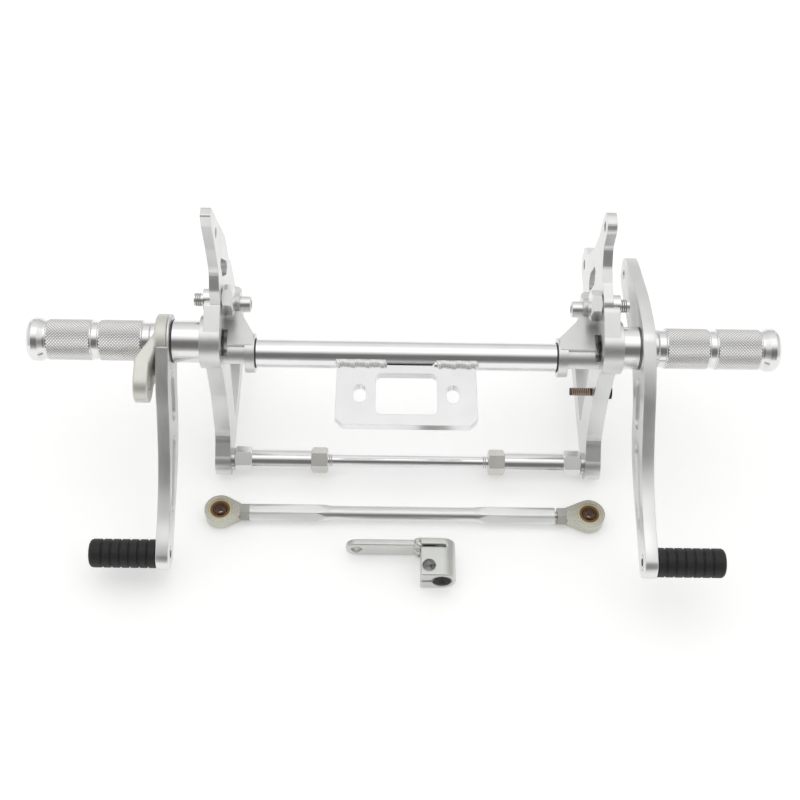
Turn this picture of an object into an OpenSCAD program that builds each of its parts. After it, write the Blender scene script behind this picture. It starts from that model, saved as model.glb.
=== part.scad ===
// Rear set footrest kit for a small motorbike: two side plates joined by a
// cross rail and a tie rod, with knurled pegs, a gear lever, a brake lever,
// and the loose linkage rod and shaft arm that go with them.
// Lengths are in millimetres. The work is laid out from the peg axis, with X
// across the bike, Y to the rear and Z up, and then moved to the hanger plate.

/* [Side plates] */
// Distance between the inner faces of the two side plates
plate_span = 236; // [220:1:260]
// Thickness of the lower frame of a side plate
plate_t = 10; // [9:0.5:12]
// Thickness of the upper arm of a side plate
arm_t = 6; // [5:0.5:7]
// Height of the peg axis above the ground
axis_h = 103.5; // [100:0.5:110]
// Radius of the round boss that carries the peg
boss_r = 16.5; // [15:0.5:18]
// Thickness of the side plate at that boss
boss_t = 12.5; // [10:0.5:13]
// Radius of the round lower end of a side plate
foot_r = 10.5; // [10:0.5:11]
// Width of the bottom bar under the plate's window
bar_w = 13; // [11:0.5:15]
// Diameter of the holes in the upper arms
arm_hole_d = 6.5; // [5:0.5:8]
// Diameter of the bolt through the root of an upper arm
arm_bolt_d = 8; // [6:0.5:9]
// Distance across the flats of that bolt's head
arm_bolt_flats = 17; // [14:1:18]

/* [Cross rail] */
// Outer diameter of the cross rail's tube
rail_d = 18; // [16:0.5:20]
// Wall of the cross rail's tube
rail_wall = 2; // [1.5:0.25:3]
// Length of the left end bracket, from its plate to the end of the tube
left_reach = 20; // [18:0.5:26]
// Length of the right end bracket, from its plate to the end of the tube
right_reach = 26; // [20:0.5:32]
// Radius of the collar that holds an end of the tube
collar_r = 12.5; // [11.5:0.5:13.5]
// Thickness of that collar along the tube
collar_t = 6; // [5:0.5:8]
// Drop of the rail's centre below the peg axis
rail_drop = 11; // [10:0.5:13]
// Width of the hanger plate
hanger_w = 87; // [80:1:96]
// Depth of the hanger plate from the tube forwards
hanger_l = 46.5; // [42:0.5:52]
// Thickness of the hanger plate
hanger_t = 5; // [4:0.5:6]
// Distance between the two slots of the hanger plate
slot_pitch = 57.5; // [54:0.5:60]
// Width of a hanger slot
slot_w = 8; // [6:0.5:9]
// Length of a hanger slot, end to end
slot_l = 13.5; // [12:0.5:15]

/* [Pegs] */
// Diameter of the knurled grip of a peg
peg_d = 25; // [23:0.5:27]
// Length of a peg
peg_l = 77; // [72:1:85]
// Diameter of the sleeve between a plate and its lever
sleeve_d = 26.5; // [25:0.5:28]
// Length of the sleeve on the gear side
sleeve_l_gear = 18; // [16:0.5:20]
// Length of the sleeve on the brake side
sleeve_l_brake = 11; // [10:0.5:14]
// Diameter of the long bolt that holds a peg
peg_bolt_d = 10; // [8:0.5:10]
// Diameter of that bolt's head, sunk in the inner face of a plate
peg_head_d = 16; // [15:0.5:17]
// Diameter of the bush that a lever turns on
bush_d = 18; // [16:0.5:20]
// Length of the washer between the gear lever and its peg
washer_l_gear = 3; // [1.5:0.5:4]
// Length of the stepped washer between the brake lever and its peg
washer_l_brake = 2.5; // [2:0.5:5]

/* [Levers] */
// Thickness of a lever
lever_t = 8; // [7:0.5:9]
// Radius of a lever round its pivot
hub_r = 17; // [16:0.5:18]
// Radius of the shift arm's ring
ring_r = 17; // [15:0.5:18]
// Length of the shift arm's ring along the pivot
ring_l = 7.6; // [7:0.2:9]
// Distance of the rear tip of the brake lever behind the pivot
tip_y = 72; // [66:1:78]
// Distance of the toe peg from the pivot
toe_l = 133; // [126:1:140]
// Angle by which the gear lever hangs lower than the brake lever
gear_drop = 11; // [5:0.5:13]
// Radius of the round toe end of a lever
toe_r = 10; // [9.5:0.25:10.5]
// Diameter of a toe rubber
rubber_d = 18; // [16:0.5:19]
// Length of a toe rubber
rubber_l = 42; // [39:1:46]
// Diameter of the screw inside a toe rubber
toe_screw_d = 6; // [5:0.5:7]
// Radial running clearance of a lever on its bush
bush_fit = 0.05; // [0.02:0.01:0.08]

/* [Tie rod] */
// Diameter of the tie rod's bar
tie_d = 8; // [6:0.5:9]
// Diameter of the round part of a tie sleeve
tie_sleeve_d = 13.5; // [12.5:0.5:15]
// Distance across the flats of a tie sleeve and its lock nut
tie_flats = 15; // [14:0.5:16]
// Length of a tie sleeve
tie_sleeve_l = 51; // [46:1:56]
// Length of a tie lock nut
tie_nut_l = 11; // [9:0.5:12]
// Diameter of the screws that hold the tie rod
tie_screw_d = 6; // [5:0.5:7]

/* [Linkage rod] */
// Distance between the two eyes of the linkage rod
link_l = 242; // [230:1:260]
// Distance across the flats of the linkage rod's hexagon
link_flats = 11; // [9.5:0.5:12]
// Outer diameter of a rod end's eye
eye_d = 20.5; // [20:0.5:23]
// Diameter of the ball in a rod end
ball_d = 12; // [11:0.5:13]
// Diameter of the hole through a ball
ball_hole_d = 6.2; // [5:0.2:7]
// Radial clearance of a ball in its eye
ball_fit = 0.05; // [0.02:0.01:0.08]

/* [Shaft arm] */
// Diameter of the splined bore that clamps on the gear shaft
shaft_d = 13; // [11:0.5:13.5]
// Length of the arm's clamp along the shaft
clamp_l = 27; // [24:0.5:32]
// Length of the flat arm from the clamp to its rounded end
blade_l = 48; // [42:1:56]

/* [Hidden] */

alu = [0.86, 0.87, 0.88];
cast = [0.82, 0.81, 0.77];
steel = [0.72, 0.73, 0.75];
copper = [0.62, 0.40, 0.30];
bronze = [0.55, 0.42, 0.22];
black = [0.08, 0.08, 0.09];
fine = 96;
// Clearance round a screw, a spigot or a bush in the piece that holds it
seat_gap = 0.05;
// Clearance between a turning lever and the pieces beside it
side_gap = 0.3;

inner_x = plate_span / 2;
outer_x = inner_x + plate_t;
boss_x = inner_x + boss_t;
rail_len = plate_span - left_reach - right_reach;
rail_shift = (left_reach - right_reach) / 2;
ground_z = -axis_h;
foot = [-27, ground_z + foot_r];
rail_r = rail_d / 2;
rail_z = -rail_drop;
hanger_top = rail_z + hanger_t / 2;
hanger_rear = 0.7 - rail_r;
hanger_mid_y = hanger_rear - hanger_l / 2;

// Moves a piece from the peg axis to the middle of the hanger plate's top face.
module seat() translate([-rail_shift, -hanger_mid_y, -hanger_top]) children();

// Repeats a piece of the right side on the left.
module left_side() mirror([1, 0, 0]) children();

function unit(p) = p / norm(p);
function turn(a) = a > 180 ? a - 360 : a < -180 ? a + 360 : a;

// Points on the arc of radius r round a centre, from one angle to another.
function arc(centre, r, from, to) = let(steps = max(2, ceil(abs(to - from) / 12)))
  [for (i = [0:steps]) let(w = from + (to - from) * i / steps) centre + r * [cos(w), sin(w)]];

// The arc that rounds corner q between its neighbours p and s to radius r.
function corner(p, q, s, r) = r <= 0 ? [q] : let(
    a = unit(p - q), b = unit(s - q),
    half = acos(a * b) / 2,
    centre = q + unit(a + b) * r / sin(half),
    from = q + a * r / tan(half) - centre,
    to = q + b * r / tan(half) - centre,
    start = atan2(from[1], from[0])
  ) arc(centre, r, start, start + turn(atan2(to[1], to[0]) - start));

// A closed outline from corners given as [y, z, radius].
function rounded(c) = [
  for (i = [0:len(c) - 1])
    let(p = c[(i + len(c) - 1) % len(c)], q = c[i], s = c[(i + 1) % len(c)])
      each corner([p[0], p[1]], [q[0], q[1]], [s[0], s[1]], q[2])
];

// The outline of a bar with round ends: radius pr at p and radius qr at q.
function tapered(p, pr, q, qr) = let(
    a = atan2(q[1] - p[1], q[0] - p[0]),
    b = acos((pr - qr) / norm(q - p))
  ) concat(arc(p, pr, a + b, a + 360 - b), arc(q, qr, a - b, a + b));

// Draws a flat shape of the Y-Z plane, then thickens it from x to x + t.
module slab(x, t) translate([x, 0, 0]) rotate([90, 0, 90]) linear_extrude(t) children();

// A round bar along X from x0 to x1, centred at p in the Y-Z plane.
module bar(x0, x1, d, p = [0, 0], faces = fine)
  translate([x0, p[0], p[1]]) rotate([0, 90, 0]) cylinder(h = x1 - x0, d = d, $fn = faces);

// A hexagonal bar along X, with a corner up.
module hex_bar(x0, x1, flats, p = [0, 0])
  bar(x0, x1, flats / cos(30), p, 6);

// A solid of revolution about X, from points given as [x, radius].
module turned(points, p = [0, 0])
  translate([0, p[0], p[1]]) rotate([90, 0, 90])
    rotate_extrude($fn = fine) polygon([for (q = points) [q[1], q[0]]]);

// A hexagonal bar along X with its corners turned off at both ends.
module hex_turned(x0, x1, flats, p = [0, 0]) {
  tip = 0.96 * flats / 2;
  out = flats / sqrt(3) + 0.1;
  cut = (out - tip) * 0.6;
  intersection() {
    hex_bar(x0, x1, flats, p);
    turned([[x0, 0], [x0, tip], [x0 + cut, out], [x1 - cut, out], [x1, tip], [x1, 0]], p);
  }
}

// A screw along X with a round socket head from x0 to x1 and a shank on to x2.
module socket_screw(x0, x1, x2, head_d, shank_d, p = [0, 0]) {
  way = sign(x1 - x0);
  head_r = head_d / 2;
  depth = abs(x1 - x0) * 0.55;
  difference() {
    turned([
      [x0, 0], [x0, head_r - 0.6], [x0 + way * 0.6, head_r], [x1, head_r],
      [x1, shank_d / 2], [x2, shank_d / 2], [x2, 0]
    ], p);
    hex_bar(min(x0 - 1, x0 + way * depth), max(x0 + way * depth, x0 + 1), head_d * 0.5, p);
  }
}

// Cross rail

window_w = 38;
window_l = 31;
window_r = 4;
hanger_chamfer = 5;
notch_w = 33;
notch_l = 1.4;
weld_d = 4.5;

module cross_rail() color(alu) seat() translate([rail_shift, 0, 0]) difference() {
  union() {
    bar(-rail_len / 2, rail_len / 2, rail_d, [0, rail_z]);
    hanger_plate();
    for (s = [-1, 1]) rail_weld(s);
  }
  bar(-rail_len / 2 - 1, rail_len / 2 + 1, rail_d - 2 * rail_wall, [0, rail_z]);
}

// A plate with a window and two slots for the frame's bolts.
module hanger_plate() {
  front = hanger_rear - hanger_l;
  half = hanger_w / 2;
  translate([0, 0, hanger_top - hanger_t]) linear_extrude(hanger_t) difference() {
    polygon([
      [-half, hanger_rear], [-half, front + hanger_chamfer], [-half + hanger_chamfer, front],
      [half - hanger_chamfer, front], [half, front + hanger_chamfer], [half, hanger_rear]
    ]);
    polygon(rounded([
      [-window_w / 2, hanger_mid_y - window_l / 2, window_r],
      [window_w / 2, hanger_mid_y - window_l / 2, window_r],
      [window_w / 2, hanger_mid_y + window_l / 2, window_r],
      [-window_w / 2, hanger_mid_y + window_l / 2, window_r]
    ]));
    for (s = [-1, 1])
      translate([s * slot_pitch / 2, hanger_mid_y]) slot_2d(slot_l, slot_w);
    translate([-notch_w / 2, hanger_rear - notch_l]) square([notch_w, rail_r]);
  }
}

// A slot with round ends along Y.
module slot_2d(l, w) {
  square([w, l - w], center = true);
  for (s = [-1, 1]) translate([0, s * (l - w) / 2]) circle(d = w, $fn = 48);
}

// The weld seam between the tube and one half of the plate's rear edge.
module rail_weld(s) {
  run = (hanger_w - notch_w) / 2;
  middle = s * (notch_w + run) / 2;
  bar(middle - run / 2 + 1, middle + run / 2 - 1, weld_d, [hanger_rear - 0.4, hanger_top - 0.6], 24);
}

// End brackets, each from one end of the tube back to the inner face of a plate

spigot_l = 12;
socket_r = collar_r - 2;
gusset_top = rail_z + collar_r;
gusset_low = -20;
flange_t = 9;
flange_rear = 44;
screw_p = [31, -0.5];
screw_d = 6;
screw_head_d = 10.5;
screw_head_l = 7;
head_room = 3;

module end_bracket(reach) {
  x = inner_x - reach;
  flange_x = inner_x - flange_t;
  slope_end = screw_p[0] - screw_head_d / 2 - 1;
  difference() {
    union() {
      bar(x, x + collar_t, 2 * collar_r, [0, rail_z]);
      bar(x - spigot_l, x + 1, rail_d - 2 * rail_wall - 2 * seat_gap, [0, rail_z]);
      bar(x + 1, inner_x, 2 * socket_r, [0, rail_z]);
      translate([0, 0, gusset_low]) linear_extrude(gusset_top - gusset_low)
        polygon([
          [x + 1, -3], [x + 1, collar_r / 2], [flange_x, slope_end], [flange_x, flange_rear - 2],
          [flange_x + 2, flange_rear], [inner_x, flange_rear], [inner_x, -3]
        ]);
      slab(flange_x, flange_t) polygon(tapered(screw_p, 7.5, [screw_p[0], gusset_low + 7.5], 7.5));
    }
    translate([x + collar_t, -30, gusset_low - 10]) cube([reach, 42, 20 + rail_z - gusset_low - 8]);
    bar(inner_x - head_room, inner_x + 1, peg_head_d + 2);
    bar(flange_x - 1, inner_x + 1, screw_d + 2 * seat_gap, screw_p);
  }
}

module left_end_bracket() color(alu) seat() left_side() end_bracket(left_reach);
module right_end_bracket() color(alu) seat() end_bracket(right_reach);

module rail_screw() color(steel)
  socket_screw(inner_x - flange_t - screw_head_l, inner_x - flange_t, inner_x + arm_t,
               screw_head_d, screw_d, screw_p);

module left_rail_screw() seat() left_side() rail_screw();
module right_rail_screw() seat() rail_screw();

// Side plates

bolt_p = [21, 15.5];
rear_y = 78;
front_y = -12.5;
peg_head_l = 6;
tie_head_d = 10;
tie_head_l = 5;
stop_p = [-4, -42];
stop_d = 5;

// Lower frame: peg boss, front bar, foot and rear heel, with its bottom edge on the ground.
module frame_2d() union() {
  polygon(rounded([
    [foot[0], ground_z, 0],
    [rear_y, ground_z, 7],
    [rear_y - 4, -40, 20],
    [rear_y - 13, 5, 8],
    [12, 24, 6],
    [front_y, 12, 8],
    [front_y, -40, 30],
    [foot[0] + 7, foot[1] + 18, 14],
    [foot[0] - foot_r * 0.7, foot[1] + foot_r * 0.7, 0],
    [foot[0], foot[1], 0]
  ]));
  translate(foot) circle(r = foot_r, $fn = fine);
}

// The window between the front bar, the bottom bar and the broad rear bar.
module window_2d() polygon(rounded([
  [4, ground_z + bar_w, 4],
  [rear_y - 14, ground_z + bar_w, 5],
  [24, -35, 6],
  [15, -35, 5]
]));

// Where the plate is milled down to the thickness of the upper arm.
module arm_step_2d() polygon([
  [boss_r - 3, 60], [boss_r - 3, -10], [34, -22], [120, -22], [120, 60]
]);

left_arm = [
  [8, 12, 0], [13, 33, 6], [21, 42, 12], [21, 62, 20], [19, 84, 6], [20, 92, 1.5],
  [27, 92, 3], [42, 63, 12], [58, 34, 16], [62, 0, 0], [50, -10, 0]
];
left_arm_slot = [[31, 26, 4], [29, 47, 3], [54, 14, 4], [45, 12, 4]];
left_arm_hole = [30, 67];

right_arm = [
  [8, 12, 0], [14, 26, 6], [28, 28, 6], [38, 33, 8], [46, 42, 8], [45, 60, 7], [60, 62, 7],
  [63, 46, 10], [63, 34, 12], [70, 14, 30], [82, -5, 10], [98, -14, 8], [97, -33, 8],
  [80, -34, 8], [60, -36, 0], [60, -8, 0]
];
right_arm_slot = [[49, 2, 4], [55, 17, 4], [66, -6, 5], [61, -20, 4]];
right_arm_hole = [54, 52];
right_lug_hole = [88, -22];

// A side plate for the right side, with the outline of its own upper arm.
module side_plate(arm, slot, holes) difference() {
  union() {
    slab(inner_x, arm_t) union() {
      frame_2d();
      polygon(rounded(arm));
    }
    slab(inner_x, plate_t) difference() {
      frame_2d();
      arm_step_2d();
    }
    bar(inner_x, boss_x, 2 * boss_r);
  }
  slab(inner_x - 1, plate_t + 2) window_2d();
  slab(inner_x - 1, plate_t + 2) polygon(rounded(slot));
  for (h = holes) bar(inner_x - 1, outer_x + 1, arm_hole_d, h);
  bar(inner_x - 1, boss_x + 1, peg_bolt_d + 2 * seat_gap);
  bar(inner_x - 1, inner_x + peg_head_l, peg_head_d + 2 * seat_gap);
  bar(inner_x - 1, outer_x + 1, arm_bolt_d + 2 * seat_gap, bolt_p);
  bar(inner_x - 1, outer_x + 1, screw_d + 2 * seat_gap, screw_p);
  bar(inner_x - 1, outer_x + 1, tie_screw_d + 2 * seat_gap, foot);
  bar(outer_x - tie_head_l, outer_x + 1, tie_head_d + 2 * seat_gap, foot);
}

module left_side_plate() color(alu) seat() left_side()
  side_plate(left_arm, left_arm_slot, [left_arm_hole]);

module right_side_plate() color(alu) seat() difference() {
  side_plate(right_arm, right_arm_slot, [right_arm_hole, right_lug_hole]);
  bar(inner_x - 1, outer_x + 1, stop_d + 2 * seat_gap, stop_p);
}

arm_head_l = 7;
arm_nut_d = 14.5;
arm_nut_l = 5.5;
arm_bolt_end = 6;

module arm_bolt() color(steel) {
  hex_turned(inner_x - arm_head_l, inner_x, arm_bolt_flats, bolt_p);
  bar(inner_x - 1, inner_x + arm_t + arm_nut_l + arm_bolt_end, arm_bolt_d, bolt_p);
}

module arm_nut() color(alu) difference() {
  bar(inner_x + arm_t, inner_x + arm_t + arm_nut_l, arm_nut_d, bolt_p);
  bar(inner_x, outer_x + 10, arm_bolt_d + 2 * seat_gap, bolt_p);
}

module left_arm_bolt() seat() left_side() arm_bolt();
module right_arm_bolt() seat() arm_bolt();
module left_arm_nut() seat() left_side() arm_nut();
module right_arm_nut() seat() arm_nut();

// Pivots and pegs

gear_x = boss_x + sleeve_l_gear + side_gap;
brake_x = boss_x + sleeve_l_brake + side_gap;
gear_hub_t = 1.4;
gear_bush_end = gear_x + gear_hub_t + ring_l + side_gap;
brake_bush_end = brake_x + lever_t + side_gap;
left_peg_x = gear_bush_end + washer_l_gear;
right_peg_x = brake_bush_end + washer_l_brake;
peg_bolt_grip = 30;
peg_bore_l = 45;

module peg_bolt(peg_x) color(steel)
  socket_screw(inner_x, inner_x + peg_head_l, peg_x + peg_bolt_grip, peg_head_d, peg_bolt_d);

// A plain ring on the peg bolt.
module collar(x0, x1, d) difference() {
  bar(x0, x1, d);
  bar(x0 - 1, x1 + 1, peg_bolt_d + 2 * seat_gap);
}

module left_peg_bolt() seat() left_side() peg_bolt(left_peg_x);
module right_peg_bolt() seat() peg_bolt(right_peg_x);
module left_pivot_sleeve() color(alu) seat() left_side()
  collar(boss_x, boss_x + sleeve_l_gear, sleeve_d);
module right_pivot_sleeve() color(alu) seat()
  collar(boss_x, boss_x + sleeve_l_brake, sleeve_d);
module left_lever_bush() color(bronze) seat() left_side()
  collar(boss_x + sleeve_l_gear, gear_bush_end, bush_d);
module right_lever_bush() color(bronze) seat()
  collar(boss_x + sleeve_l_brake, brake_bush_end, bush_d);
module left_peg_washer() color(steel) seat() left_side()
  collar(gear_bush_end, left_peg_x, 0.94 * peg_d);
module right_peg_washer() color(steel) seat() {
  collar(brake_bush_end, brake_bush_end + washer_l_brake / 2, peg_d);
  collar(brake_bush_end + washer_l_brake / 2, right_peg_x, 0.86 * peg_d);
}

knurl_start = 5.2;
groove_start = 32;
groove_l = 4.6;
groove_depth = 0.6;
flare_l = 12.8;
flare = 1.2;

// A peg whose inner end is at x: collar, grip with a middle groove, and flared end.
module peg(x) color(alu) {
  r = peg_d / 2;
  end = x + peg_l;
  groove_x = x + groove_start;
  difference() {
    turned([
      [x, 0], [x, r - 1.6], [x + 0.8, r - 0.8], [x + knurl_start - 0.4, r - 0.8], [x + knurl_start, r],
      [groove_x, r], [groove_x + groove_depth, r - groove_depth],
      [groove_x + groove_l - groove_depth, r - groove_depth], [groove_x + groove_l, r],
      [end - flare_l, r], [end - flare_l + 0.4, r - 0.5], [end - flare_l + 1.6, r - 0.4],
      [end - 8, r + flare], [end - 4.4, r + flare], [end - 2.6, r + flare - 0.8],
      [end - 1.2, r - 1.2], [end - 0.3, r - 3.4], [end, r - 6], [end, 0]
    ]);
    bar(x - 1, x + peg_bore_l, peg_bolt_d + 2 * seat_gap);
  }
}

module left_peg() seat() left_side() peg(left_peg_x);
module right_peg() seat() peg(right_peg_x);

// Levers

toe_rise = 205.8;
toe = toe_l * [cos(toe_rise), sin(toe_rise)];
gear_toe = toe_l * [cos(toe_rise + gear_drop), sin(toe_rise + gear_drop)];
tip = [tip_y, -13];
tip_r = 11;
tip_hole_d = 6;
toe_head_d = 10;
toe_head_l = 6;
toe_screw_end = 36;

// Edges of the curved lever between its hub and its toe, as [y, z, radius].
upper_edge = [[-10, 13.5, 0], [-32, 1, 40], [-52, -17, 40], [-74, -33, 40], [-100, -43, 40]];
lower_edge = [[-92, -62, 40], [-62, -58, 40], [-38, -48, 40], [-14, -28, 40], [4, -16.4, 0]];

// The curved lever from the pivot to the toe, with two slots.
module lever_2d() difference() {
  union() {
    circle(r = hub_r, $fn = fine);
    translate(toe) circle(r = toe_r, $fn = fine);
    polygon(rounded(concat(
      [[4, 4, 0]], upper_edge,
      [[toe[0] + toe_r * cos(103), toe[1] + toe_r * sin(103), 0],
       [toe[0] + toe_r * cos(285), toe[1] + toe_r * sin(285), 0]],
      lower_edge
    )));
  }
  polygon(tapered([-22, -13], 6.8, [-36, -26], 6.6));
  polygon(tapered([-54, -37], 6, [-90, -51], 4.6));
}

module lever_bores(x, p) {
  bar(x - 1, x + lever_t + 1, bush_d + 2 * bush_fit);
  bar(x - 1, x + lever_t + 1, toe_screw_d + 2 * seat_gap, p);
  bar(x - 1, x + toe_head_l, toe_head_d + 2 * seat_gap, p);
}

module gear_lever() color(alu) seat() left_side() difference() {
  slab(gear_x, lever_t) rotate(gear_drop) lever_2d();
  bar(gear_x + gear_hub_t, gear_x + lever_t + 1, 2 * ring_r + 0.4);
  lever_bores(gear_x, gear_toe);
}

module brake_lever() color(alu) seat() difference() {
  slab(brake_x, lever_t) union() {
    lever_2d();
    polygon(tapered([0, 0], hub_r, tip, tip_r));
    polygon(rounded([
      [0, 16.8, 0], [tip[0] * 0.44, 12.5, 40],
      [tip[0] + tip_r * cos(71), tip[1] + tip_r * sin(71), 0], [tip[0], tip[1], 0], [0, 0, 0]
    ]));
  }
  lever_bores(brake_x, toe);
  bar(brake_x - 1, brake_x + lever_t + 1, tip_hole_d, tip);
}

ear_p = [-31, -4];
ear_r = 11;
ear_hole_d = 5.5;
ear_offset = 2;
ear_t = 9;

// Ring round the pivot with an S-bent arm to an ear farther out.
module shift_arm() color(cast) seat() left_side() {
  x = gear_x + gear_hub_t;
  end = x + ring_l;
  inner = end + ear_offset;
  outer = inner + ear_t;
  root = gear_x + lever_t + side_gap;
  difference() {
    union() {
      bar(x, end, 2 * ring_r);
      intersection() {
        slab(x, outer - x) polygon(tapered([0, 0], ring_r - 1, ear_p, ear_r));
        translate([0, 0, -40]) linear_extrude(80) polygon([
          [root, 0], [root, -16], [inner, -24], [inner, -50],
          [outer, -50], [outer, -21], [end, -5], [end, 0]
        ]);
      }
    }
    bar(x - 1, end + 1, bush_d + 2 * bush_fit);
    bar(end, outer + 1, peg_d + 2);
    bar(x - 1, outer + 1, ear_hole_d, ear_p);
  }
}

module toe_screw(x, p) color(steel)
  socket_screw(x, x + toe_head_l, x + lever_t + toe_screw_end, toe_head_d, toe_screw_d, p);

rubber_ribs = 7;
rubber_round = 2.5;

// A rubber with shallow grooves and a rounded outer end on the toe screw.
module toe_rubber(x, p) color(black) {
  r = rubber_d / 2;
  start = x + lever_t;
  end = start + rubber_l;
  rib = (rubber_l - rubber_round) / rubber_ribs;
  difference() {
    turned(concat(
      [[start, 0], [start, r - 0.6], [start + 0.6, r]],
      [for (i = [1:rubber_ribs - 1], q = [[-0.8, 0], [-0.3, -0.7], [0.3, -0.7], [0.8, 0]])
         [start + rib * i + q[0], r + q[1]]],
      [for (a = [0:22.5:90])
         [end - rubber_round + rubber_round * sin(a), r - rubber_round + rubber_round * cos(a)]],
      [[end, 0]]
    ), p);
    bar(start - 1, start + toe_screw_end + 0.5, toe_screw_d + 2 * seat_gap, p);
  }
}

module left_toe_screw() seat() left_side() toe_screw(gear_x, gear_toe);
module right_toe_screw() seat() toe_screw(brake_x, toe);
module left_toe_rubber() seat() left_side() toe_rubber(gear_x, gear_toe);
module right_toe_rubber() seat() toe_rubber(brake_x, toe);

// Stop for the brake lever

stop_reach = 14;
buffer_d = 9;
buffer_l = 3;

module stop_screw() color(copper) seat() bar(inner_x - stop_reach, outer_x + 1.5, stop_d, stop_p);
module stop_buffer() color(black) seat() difference() {
  bar(outer_x, outer_x + buffer_l, buffer_d, stop_p);
  bar(outer_x - 1, outer_x + 1.5, stop_d + 2 * seat_gap, stop_p);
}

// Tie rod between the two feet

tie_washer_t = 2.5;
tie_hex_l = 11.5;
tie_grip = 21;
tie_x = inner_x - tie_washer_t;
sleeve_x = tie_x - tie_sleeve_l;

module tie_sleeve() color(alu) difference() {
  union() {
    hex_turned(tie_x - tie_hex_l, tie_x, tie_flats, foot);
    bar(sleeve_x, tie_x - tie_hex_l + 1, tie_sleeve_d, foot);
  }
  bar(sleeve_x - 1, sleeve_x + tie_grip + 1, tie_d + 2 * seat_gap, foot);
  bar(tie_x - tie_hex_l - 10, tie_x + 1, tie_screw_d + 2 * seat_gap, foot);
}

module tie_nut() color(steel) difference() {
  hex_turned(sleeve_x - tie_nut_l, sleeve_x, tie_flats, foot);
  bar(sleeve_x - tie_nut_l - 1, sleeve_x + 1, tie_d + 2 * seat_gap, foot);
}

module tie_screw() color(steel)
  socket_screw(outer_x, outer_x - tie_head_l, tie_x - tie_hex_l - 8, tie_head_d, tie_screw_d, foot);

module tie_bar() color(steel) seat() bar(-sleeve_x - tie_grip, sleeve_x + tie_grip, tie_d, foot);
module left_tie_sleeve() seat() left_side() tie_sleeve();
module right_tie_sleeve() seat() tie_sleeve();
module left_tie_nut() seat() left_side() tie_nut();
module right_tie_nut() seat() tie_nut();
module left_tie_screw() seat() left_side() tie_screw();
module right_tie_screw() seat() tie_screw();
module tie_washers() color(steel) seat() for (s = [0, 1]) mirror([s, 0, 0]) difference() {
  bar(tie_x, inner_x, tie_flats, foot);
  bar(tie_x - 1, inner_x + 1, tie_screw_d + 2 * seat_gap, foot);
}

// Linkage rod, lying on the ground in front of the plates

link_p = [-65, ground_z + link_flats / 2];
link_left = -122.8;
link_right = link_left + link_l;
left_neck = 13.3;
right_neck = 15.2;
link_nut_l = 5.9;
link_hex_l = 51.5;
link_taper = 4.5;
rod_x0 = link_left + left_neck + link_nut_l;
rod_x1 = link_right - right_neck - link_nut_l - 1.8;
shank_d = 6;
shank_grip = 22;
eye_t = 8;
race_d = 15;
race_t = 7;
ball_t = 9;

module link_rod() color(alu) seat() difference() {
  union() {
    flat_hex(rod_x0, rod_x0 + link_hex_l, link_flats);
    flat_hex(rod_x1 - link_hex_l, rod_x1, link_flats);
    turned([
      [rod_x0 + link_hex_l - 0.5, 0], [rod_x0 + link_hex_l - 0.5, link_flats / 2],
      [rod_x0 + link_hex_l, link_flats / 2], [rod_x0 + link_hex_l + link_taper, link_flats / 2 - 0.6],
      [rod_x1 - link_hex_l - link_taper, link_flats / 2 - 0.6], [rod_x1 - link_hex_l, link_flats / 2],
      [rod_x1 - link_hex_l + 0.5, link_flats / 2], [rod_x1 - link_hex_l + 0.5, 0]
    ], link_p);
  }
  bar(rod_x0 - 1, rod_x0 + shank_grip + 2, shank_d + 2 * seat_gap, link_p);
  bar(rod_x1 - shank_grip - 2, rod_x1 + 1, shank_d + 2 * seat_gap, link_p);
}

// A hexagonal bar along X that lies on one of its flats.
module flat_hex(x0, x1, flats) translate([x0, link_p[0], link_p[1]])
  rotate([30, 0, 0]) rotate([0, 90, 0]) cylinder(h = x1 - x0, d = flats / cos(30), $fn = 6);

neck_w = 4.4;

// The flat outline of an eye that narrows to its neck, l away along X.
module eye_2d(l) {
  from = atan2(neck_w, l) + acos(eye_d / 2 / norm([neck_w, l]));
  circle(d = eye_d, $fn = fine);
  polygon([
    [0, 0], eye_d / 2 * [cos(from), sin(from)], [l, neck_w],
    [l, -neck_w], eye_d / 2 * [cos(from), -sin(from)]
  ]);
}

// Eye at x with a shank towards the end of the rod; way is 1 for the left eye.
module rod_end(x, way, rod_end_x) color(steel) {
  neck_l = way > 0 ? left_neck : right_neck;
  shank_from = x + way * (neck_l - 1);
  shank_to = rod_end_x + way * shank_grip;
  difference() {
    union() {
      translate([x, link_p[0], link_p[1] - eye_t / 2]) linear_extrude(eye_t)
        mirror([way > 0 ? 0 : 1, 0]) eye_2d(neck_l);
      bar(min(shank_from, shank_to), max(shank_from, shank_to), shank_d, link_p);
    }
    translate([x, link_p[0], link_p[1] - eye_t])
      cylinder(h = 2 * eye_t, d = race_d + 2 * seat_gap, $fn = fine);
  }
}

module link_nut(x0) color(steel) difference() {
  flat_hex(x0, x0 + link_nut_l, link_flats - 0.2);
  bar(x0 - 1, x0 + link_nut_l + 1, shank_d + 2 * seat_gap, link_p);
}

module race(x) color(bronze) translate([x, link_p[0], link_p[1]]) difference() {
  translate([0, 0, -race_t / 2]) cylinder(h = race_t, d = race_d, $fn = fine);
  sphere(d = ball_d + 2 * ball_fit, $fn = 64);
}

module ball(x) color(steel) translate([x, link_p[0], link_p[1]]) difference() {
  intersection() {
    sphere(d = ball_d, $fn = 64);
    cube([2 * ball_d, 2 * ball_d, ball_t], center = true);
  }
  cylinder(h = 2 * ball_d, d = ball_hole_d, center = true, $fn = 48);
}

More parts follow.
